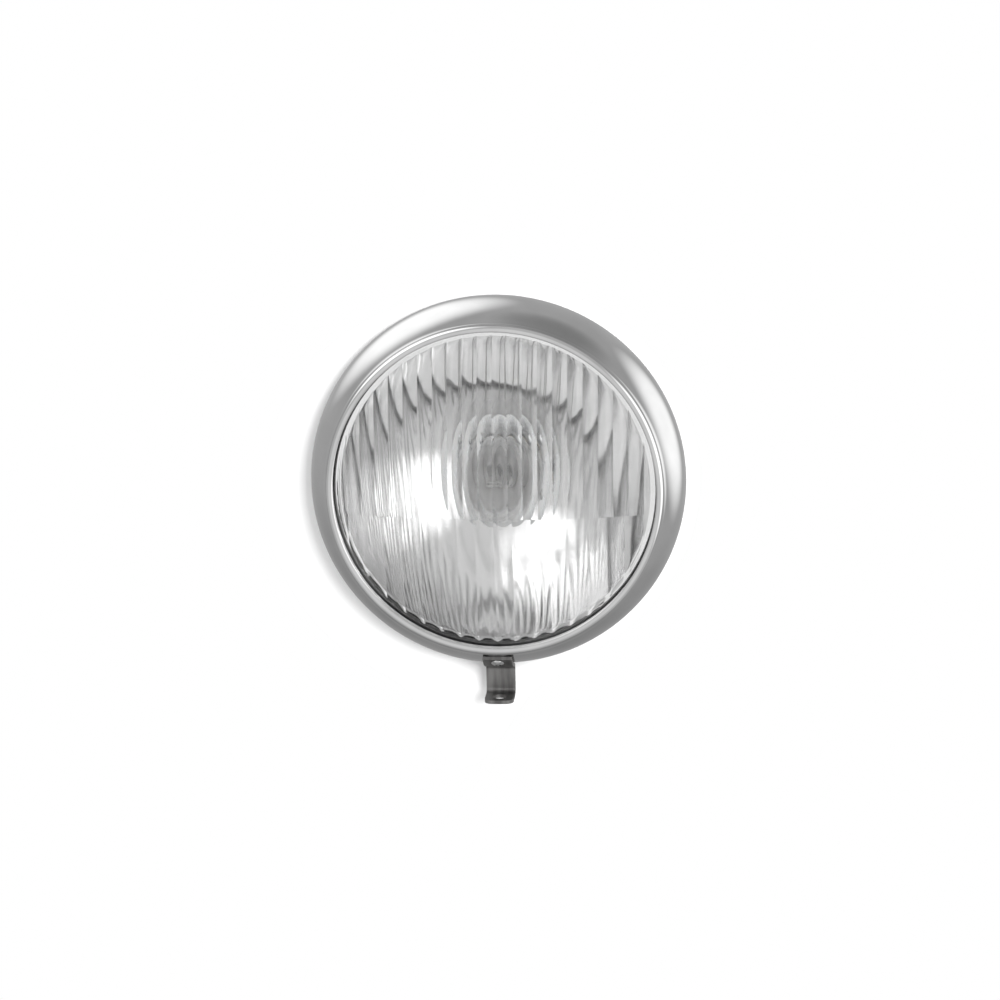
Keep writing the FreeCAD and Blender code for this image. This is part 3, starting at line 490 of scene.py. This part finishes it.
def leg(tree, longSide, otherLeg):
    # the missing leg of a right-angled triangle
    rest = calc(tree, "SUBTRACT", square(tree, longSide), square(tree, otherLeg))
    return calc(tree, "SQRT", calc(tree, "MAXIMUM", rest, 0.0))


def blend(tree, share, one, other):
    # a share of 0 gives the one number, a share of 1 the other
    apart = calc(tree, "SUBTRACT", other, one)
    return calc(tree, "ADD", one, calc(tree, "MULTIPLY", share, apart))


def fluteTrough(tree, given, x):
    # a shallow trough across each pitch
    pitch = blend(tree, readMark(tree, "upperHalf"), given["Lower Pitch"], given["Upper Pitch"])
    part = calc(tree, "FRACT", calc(tree, "DIVIDE", x, pitch))
    across = calc(tree, "MULTIPLY_ADD", part, 2.0, -1.0)
    hollow = calc(tree, "SUBTRACT", 1.0, square(tree, across))
    return calc(tree, "MULTIPLY", given["Flute Depth"], hollow)


def pressedDepth(tree, given, x, z):
    # the troughs follow the dome, and a cone ends them all round
    swing = calc(tree, "ADD", leg(tree, given["Flute Dome"], x), fluteTrough(tree, given, x))
    flute = calc(tree, "SUBTRACT", given["Dome Centre"], leg(tree, swing, z))
    reach = calc(tree, "SQRT", calc(tree, "ADD", square(tree, x), square(tree, z)))
    inside = calc(tree, "SUBTRACT", given["Field Radius"], reach)
    drop = calc(tree, "MULTIPLY", inside, given["Field Slope"])
    cone = calc(tree, "SUBTRACT", given["Back"], drop)
    return calc(tree, "MINIMUM", given["Back"], calc(tree, "MAXIMUM", flute, cone))


def endTree(tree, geometry, material):
    real = tree.nodes.new("GeometryNodeRealizeInstances")
    paint = tree.nodes.new("GeometryNodeSetMaterial")
    out = tree.nodes.new("NodeGroupOutput")
    tree.links.new(geometry, real.inputs["Geometry"])
    tree.links.new(real.outputs["Geometry"], paint.inputs["Geometry"])
    tree.links.new(material, paint.inputs["Material"])
    tree.links.new(paint.outputs["Geometry"], out.inputs["Geometry"])


def fluteTree(sizeNames):
    tree = bpy.data.node_groups.new("pressFlutes", "GeometryNodeTree")
    tree.interface.new_socket("Geometry", in_out="INPUT", socket_type="NodeSocketGeometry")
    for name in sizeNames:
        tree.interface.new_socket(name, in_out="INPUT", socket_type="NodeSocketFloat")
    tree.interface.new_socket("Glass", in_out="INPUT", socket_type="NodeSocketMaterial")
    tree.interface.new_socket("Geometry", in_out="OUTPUT", socket_type="NodeSocketGeometry")
    given = tree.nodes.new("NodeGroupInput").outputs
    apart = tree.nodes.new("ShaderNodeSeparateXYZ")
    tree.links.new(tree.nodes.new("GeometryNodeInputPosition").outputs[0], apart.inputs[0])
    x, depth, z = apart.outputs
    moved = blend(tree, readMark(tree, "fluted"), depth, pressedDepth(tree, given, x, z))
    place = tree.nodes.new("ShaderNodeCombineXYZ")
    for value, socket in zip((x, moved, z), place.inputs):
        tree.links.new(value, socket)
    shift = tree.nodes.new("GeometryNodeSetPosition")
    tree.links.new(given["Geometry"], shift.inputs["Geometry"])
    tree.links.new(place.outputs[0], shift.inputs["Position"])
    endTree(tree, shift.outputs["Geometry"], given["Glass"])
    return tree


def runTree(name, mesh, tree, values):
    # sets each input by its identifier, evaluates the tree and keeps a plain mesh
    worker = addPiece(name + "Worker", mesh)
    modifier = worker.modifiers.new(name, "NODES")
    modifier.node_group = tree
    for item in tree.interface.items_tree:
        if item.in_out == "INPUT" and item.name in values:
            modifier[item.identifier] = values[item.name]
    evaluated = worker.evaluated_get(bpy.context.evaluated_depsgraph_get())
    result = bpy.data.meshes.new_from_object(evaluated)
    worker.modifiers.remove(modifier)
    bpy.data.objects.remove(worker)
    result.name = name
    return result


def makeLens(sizes, grid):
    fluteSizes = {
        "Upper Pitch": sizes["upperPitch"] * mm,
        "Lower Pitch": sizes["lowerPitch"] * mm,
        "Flute Depth": sizes["fluteDepth"] * mm,
        "Dome Centre": sizes["domeCentre"] * mm,
        "Flute Dome": (sizes["domeRadius"] - sizes["wall"]) * mm,
        "Field Radius": sizes["fieldRadius"] * mm,
        "Field Slope": math.tan(math.radians(sizes["fieldSlope"])),
        "Back": sizes["back"] * mm,
    }
    values = dict(fluteSizes, Glass=finishes["lens_glass"])
    mesh = runTree("lensGlass", makeLensBlank(sizes, grid), fluteTree(fluteSizes), values)
    closeMesh(mesh)
    smoothByAngle(mesh, sizes["smooth"])
    return addPiece("lensGlass", mesh)


lensSizes = workOutLens(lensSizes, rimSizes)
dress(makeLens(lensSizes, lensGrid), "lens", finishes["lens_glass"])


# reflector: a true parabola, so that it throws the room back as the real one does

reflectorSizes = dict(wall=0.8, sealWall=1.6, flangePlay=0.6, flangeWidth=3.8, focusSetback=2.7,
                      neckRadius=19.0, neckEnd=17.0, collarRadius=23.2, steps=64,
                      segments=240, smooth=20)


def workOutReflector(sizes, lens):
    # the mouth lies behind lens and seal, and the focus a little way behind the mouth
    mouthDepth = lens["back"] + sizes["sealWall"]
    flangeRadius = lens["radius"] - sizes["flangePlay"]
    mouthRadius, setback = flangeRadius - sizes["flangeWidth"], sizes["focusSetback"]
    focal = (math.hypot(setback, mouthRadius) - setback) / 2
    return dict(sizes, mouthDepth=mouthDepth, flangeRadius=flangeRadius, mouthRadius=mouthRadius,
                focal=focal, apex=mouthDepth + setback + focal)


def bowlCurve(sizes, shift, first, last):
    curve = []
    for number in range(sizes["steps"] + 1):
        radius = first + (last - first) * number / sizes["steps"]
        curve.append((sizes["apex"] - radius ** 2 / (4 * sizes["focal"]) + shift, radius))
    return curve


def makeReflector(sizes):
    wall, neck, mouth = sizes["wall"], sizes["neckRadius"], sizes["mouthRadius"]
    flange, mouthDepth = sizes["flangeRadius"], sizes["mouthDepth"]
    collar, neckEnd = sizes["collarRadius"], sizes["neckEnd"]
    points = bowlCurve(sizes, 0, neck, mouth)
    points += [(mouthDepth, flange), (mouthDepth + wall, flange)]
    points += bowlCurve(sizes, wall, mouth, neck + wall)
    points += [(neckEnd - wall, neck + wall), (neckEnd - wall, collar), (neckEnd, collar),
               (neckEnd, neck)]
    return turnedPiece("reflectorBowl", points, sizes)


reflectorSizes = workOutReflector(reflectorSizes, lensSizes)
dress(makeReflector(reflectorSizes), "reflector", finishes["mirror_coat"])
print("reflector made")


# bulb globe: a tube with a round front end and a tapered shoulder

globeSizes = dict(radius=12.5, wall=0.7, front=-17.7, taper=7.6, shoulder=14.1, neck=8.4,
                  end=20.3, arcStep=4, segments=96, smooth=40)


def makeGlobe(sizes):
    radius, wall, neck, front = sizes["radius"], sizes["wall"], sizes["neck"], sizes["front"]
    points = sectionPoints([
        (front, 0),
        (front + radius, radius, -radius),
        (sizes["taper"], radius),
        (sizes["shoulder"], neck),
        (sizes["end"], neck),
        (sizes["end"], neck - wall),
        (sizes["shoulder"], neck - wall),
        (sizes["taper"], radius - wall),
        (front + radius, radius - wall),
        (front + wall, 0, radius - wall),
    ], sizes["arcStep"])
    return turnedPiece("bulbGlobe", points, sizes)


dress(makeGlobe(globeSizes), "bulb_globe", finishes["bulb_glass"])
print("bulb globe made")


# the other pieces: a merged, smooth-shaded copy of each solid

copySizes = dict(mergeGap=0.001, smooth=30)


def smoothCopy(node, sizes):
    mesh = frame["nodes"][node].data.copy()
    closeMesh(mesh, sizes["mergeGap"])
    smoothByAngle(mesh, sizes["smooth"])
    return addPiece(node + "Smooth", mesh)


slotOfNode = {entry["node"]: entry["material_slot"] for entry in frame["record"]["subparts"]}
alreadyMade = {"rim", "reflector", "lens", "bulb_globe"}
for node in sorted(set(frame["nodes"]) - alreadyMade):
    dress(smoothCopy(node, copySizes), node, finishes[slotOfNode[node]])
for node, cadPiece in frame["nodes"].items():
    cadPiece.data.materials.clear()
    cadPiece.data.materials.append(finishes[slotOfNode[node]])
print("copies made:", len(frame["nodes"]) - len(alreadyMade))


# card: a ring of white card behind the rim, wider where the shadow falls

cardSizes = dict(depth=0.8, hole=58.5, reach=65.0, shadeReach=14.0, shadeAngle=212.0,
                 tabReach=26.0, tabAngle=262.0, tabSharpness=60, count=180)
cardLook = dict(dark=grey(0.80), light=grey(0.82), scale=90, rough=0.9, glow=0.05)


def cardEdge(sizes, angle):
    # reaches out to the lower left, and in a narrow tab behind the bracket
    shade = max(0.0, math.cos(angle - math.radians(sizes["shadeAngle"])))
    tab = max(0.0, math.cos(angle - math.radians(sizes["tabAngle"]))) ** sizes["tabSharpness"]
    return sizes["reach"] + sizes["shadeReach"] * shade + sizes["tabReach"] * tab


def makeCard(sizes):
    count = sizes["count"]
    vertices, faces = [], []
    for number in range(count):
        angle = 2 * math.pi * number / count
        for radius in (sizes["hole"], cardEdge(sizes, angle)):
            vertices.append(ringPoint(radius, sizes["depth"], angle))
        one, other = 2 * number, 2 * ((number + 1) % count)
        faces.append((one, one + 1, other + 1, other))
    mesh = bpy.data.meshes.new("backCard")
    mesh.from_pydata(vertices, [], faces)
    return addPiece("backCard", mesh)


def seenDirectly(tree):
    # 1 for what the camera, polished metal and glass look at
    path = tree.nodes.new("ShaderNodeLightPath").outputs
    seen = calc(tree, "MAXIMUM", path["Is Camera Ray"], path["Is Glossy Ray"])
    return calc(tree, "MAXIMUM", seen, path["Is Transmission Ray"])


def cardFinish(look):
    material, tree, shader = startMaterial("cardWhite")
    tone = twoTone(tree, pattern(tree, look["scale"]), look)
    glow = calc(tree, "MULTIPLY", seenDirectly(tree), look["glow"])
    link(tree, tone, shader.inputs["Base Color"])
    link(tree, glow, shader.inputs["Emission Strength"])
    shader.inputs["Emission Color"].default_value = (1, 1, 1, 1)
    shader.inputs["Roughness"].default_value = look["rough"]
    shader.inputs["Specular IOR Level"].default_value = 0
    # the card has one face: from behind it isn't there
    clear = tree.nodes.new("ShaderNodeBsdfTransparent")
    side = tree.nodes.new("ShaderNodeNewGeometry")
    showShader(tree, mixShaders(tree, side.outputs["Backfacing"], shader.outputs[0],
                                clear.outputs[0]))
    return material


# room: a big lit ball that the camera can't see, with a ramp of greys along a tilted axis, a dark
# round seam, and soft fields that are brighter or darker than the rest

roomSizes = dict(radius=3000.0, segments=48, rings=24)
roomLook = dict(
    tilt=(-0.05, -1.0, -0.11),
    levels=((-1.0, 0.55), (-0.15, 0.53), (0.05, 0.55), (0.29, 0.55), (0.38, 0.64), (1.0, 0.70)),
    seam=((-1.0, 1.0), (0.28, 1.0), (0.31, 0.22), (0.36, 0.22), (0.39, 1.0), (1.0, 1.0)),
)
roomFields = {
    "rightFront": dict(towards=(0.72, -0.68, -0.02), inner=15, outer=31, gain=1.4),
    "upperLeftFront": dict(towards=(-0.56, -0.60, 0.58), inner=14, outer=30, gain=1.5),
    "lowFront": dict(towards=(-0.08, -0.97, -0.22), inner=12, outer=34, gain=0.26),
    "rightSide": dict(towards=(0.85, 0.45, 0.12), inner=9, outer=33, gain=1.1),
    "upperLeftSide": dict(towards=(-0.50, 0.55, 0.62), inner=10, outer=36, gain=1.1),
    "darkTop": dict(towards=(0.36, 0.0, 0.93), inner=5, outer=30, gain=-0.20),
    "ground": dict(towards=(-0.16, 0.35, -0.92), inner=20, outer=72, gain=-0.18),
}


def makeRoom(sizes):
    mesh = bpy.data.meshes.new("greyRoom")
    shell = bmesh.new()
    bmesh.ops.create_uvsphere(shell, u_segments=sizes["segments"], v_segments=sizes["rings"],
                              radius=sizes["radius"] * mm)
    bmesh.ops.reverse_faces(shell, faces=shell.faces)
    shell.to_mesh(mesh)
    shell.free()
    room = addPiece("greyRoom", mesh)
    room.visible_camera = False
    room.visible_shadow = False
    return room


def roomDirection(tree):
    place = tree.nodes.new("ShaderNodeTexCoord")
    ray = tree.nodes.new("ShaderNodeVectorMath")
    ray.operation = "NORMALIZE"
    tree.links.new(place.outputs["Object"], ray.inputs[0])
    return ray.outputs[0]


def along(tree, ray, direction):
    # how far a place of the room lies towards a direction, from -1 to 1
    node = tree.nodes.new("ShaderNodeVectorMath")
    node.operation = "DOT_PRODUCT"
    tree.links.new(ray, node.inputs[0])
    node.inputs[1].default_value = Vector(direction).normalized()
    return node.outputs["Value"]


def greyRamp(tree, value, levels):
    # a ramp runs from 0 to 1, the value and the stops from -1 to 1
    ramp = tree.nodes.new("ShaderNodeValToRGB")
    stops = ramp.color_ramp.elements
    while len(stops) < len(levels):
        stops.new(1.0)
    for stop, (reach, level) in zip(stops, levels):
        stop.position = reach / 2 + 0.5
        stop.color = (*grey(level), 1)
    link(tree, calc(tree, "MULTIPLY_ADD", value, 0.5, 0.5), ramp.inputs["Fac"])
    return ramp.outputs["Color"]


def roomFinish(look, fields):
    material, tree, shader = startMaterial("roomGrey")
    tree.nodes.remove(shader)
    ray = roomDirection(tree)
    tilt = along(tree, ray, look["tilt"])
    level = greyRamp(tree, tilt, look["levels"])
    for field in fields.values():
        edges = [math.cos(math.radians(field[edge])) for edge in ("outer", "inner")]
        reach = along(tree, ray, field["towards"])
        extra = remap(tree, reach, edges, (0, field["gain"]), "SMOOTHSTEP")
        level = calc(tree, "ADD", level, extra)
    glow = tree.nodes.new("ShaderNodeEmission")
    seam = greyRamp(tree, tilt, look["seam"])
    link(tree, calc(tree, "MULTIPLY", level, seam), glow.inputs["Strength"])
    showShader(tree, glow.outputs[0])
    return material


# world: white where it is seen, dimmer as a light

worldLook = dict(seen=1.0, light=0.45)


def makeWorld(look):
    world = bpy.data.worlds.new("whiteStudio")
    scene.world = world
    world.use_nodes = True
    tree = world.node_tree
    ground = tree.nodes["Background"]
    ground.inputs["Color"].default_value = (1, 1, 1, 1)
    strength = calc(tree, "MULTIPLY_ADD", seenDirectly(tree), look["seen"] - look["light"],
                    look["light"])
    link(tree, strength, ground.inputs["Strength"])


# key lamp and camera, placed in metres

keyLampLook = dict(place=(0.60, -1.20, 0.40), target=(0, 0, 0), size=(0.5, 0.5), power=18.0)
cameraSizes = dict(azimuth=5.3, elevation=14.3, roll=-1.1, distance=1.0,
                   target=(0.0003, 0.0, -0.0072), lens=110.5, sensor=36, clip=(0.01, 20))


def aim(thing, place, target):
    thing.location = place
    thing.rotation_euler = (Vector(target) - Vector(place)).to_track_quat("-Z", "Y").to_euler()


def makeKeyLamp(look):
    # casts the shadow on the card, and isn't mirrored in chrome or glass
    lamp = bpy.data.lights.new("keyLamp", "AREA")
    lamp.shape = "RECTANGLE"
    lamp.size, lamp.size_y = look["size"]
    lamp.energy = look["power"]
    holder = addPiece("keyLamp", lamp)
    holder.visible_glossy = False
    holder.visible_transmission = False
    aim(holder, look["place"], look["target"])


def makeCamera(sizes):
    camera = bpy.data.cameras.new("photoCamera")
    camera.sensor_width = sizes["sensor"]
    camera.lens = sizes["lens"]
    camera.clip_start, camera.clip_end = sizes["clip"]
    holder = addPiece("photoCamera", camera)
    side, rise = math.radians(sizes["azimuth"]), math.radians(sizes["elevation"])
    level = math.cos(rise)
    away = Vector((math.sin(side) * level, -math.cos(side) * level, math.sin(rise)))
    target = Vector(sizes["target"])
    aim(holder, target + away * sizes["distance"], target)
    holder.rotation_euler.rotate_axis("Z", math.radians(sizes["roll"]))
    scene.camera = holder


card = makeCard(cardSizes)
card.data.materials.append(cardFinish(cardLook))
card.visible_glossy = False
room = makeRoom(roomSizes)
room.data.materials.append(roomFinish(roomLook, roomFields))
makeWorld(worldLook)
makeKeyLamp(keyLampLook)
makeCamera(cameraSizes)
scene.view_settings.view_transform = "Standard"
print("stage, lamp and camera set")
